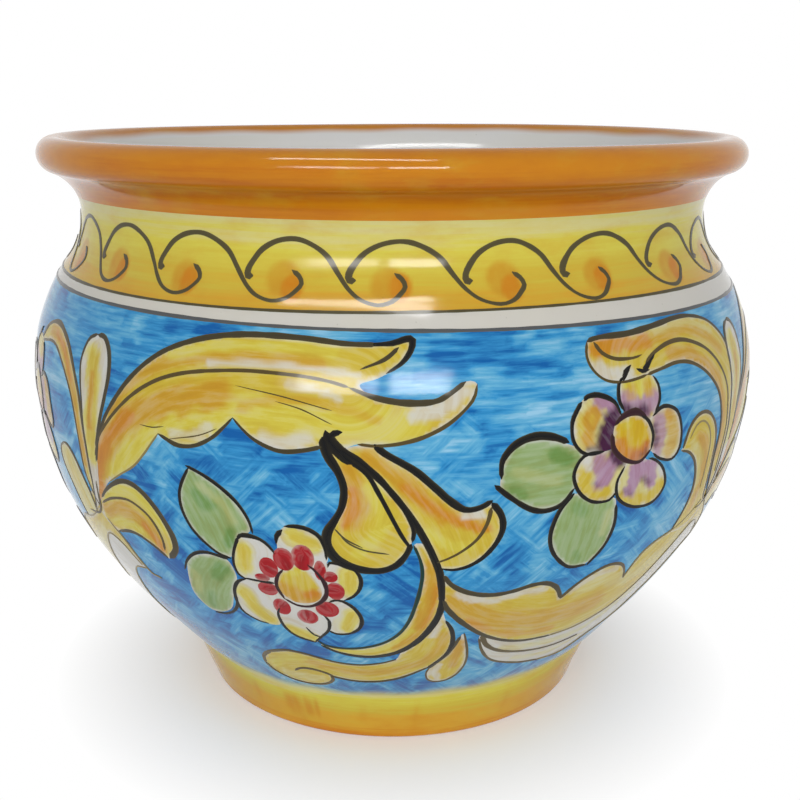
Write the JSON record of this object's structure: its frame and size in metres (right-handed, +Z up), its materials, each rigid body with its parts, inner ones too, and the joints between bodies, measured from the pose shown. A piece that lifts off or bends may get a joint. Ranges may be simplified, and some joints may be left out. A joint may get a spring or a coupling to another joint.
{
  "type": "cachepot",
  "caption": "Round-bellied glazed earthenware cachepot with a rolled flaring lip, a waisted neck and a turned foot, hand painted, to hold a plant in its nursery pot.",
  "frame": {"origin": "on the table, under the middle of the foot", "axes": "+Z up along the pot's axis of revolution; -Y towards the viewer of the painted front"},
  "size_m": [0.256, 0.256, 0.2],
  "materials": {
    "bare_clay": "bare fired earthenware",
    "ochre_glaze": "gloss tin glaze, brushed yellow to ochre",
    "blue_glaze": "gloss tin glaze, brushed turquoise blue with painted leaves and flowers",
    "white_glaze": "gloss white tin glaze",
    "yellow_glaze": "gloss tin glaze, brushed yellow with a painted wave scroll",
    "orange_glaze": "gloss tin glaze, brushed orange"
  },
  "bodies": {
    "root": {"foot_ring": "bare_clay", "thrown_bowl": "bare_clay", "neck_collar": "bare_clay", "rolled_lip": "bare_clay", "foot_glaze": "ochre_glaze", "belly_glaze": "blue_glaze", "shoulder_glaze": "white_glaze", "neck_glaze": "yellow_glaze", "lip_glaze": "orange_glaze", "lining_glaze": "white_glaze"}
  },
  "joints": []
}
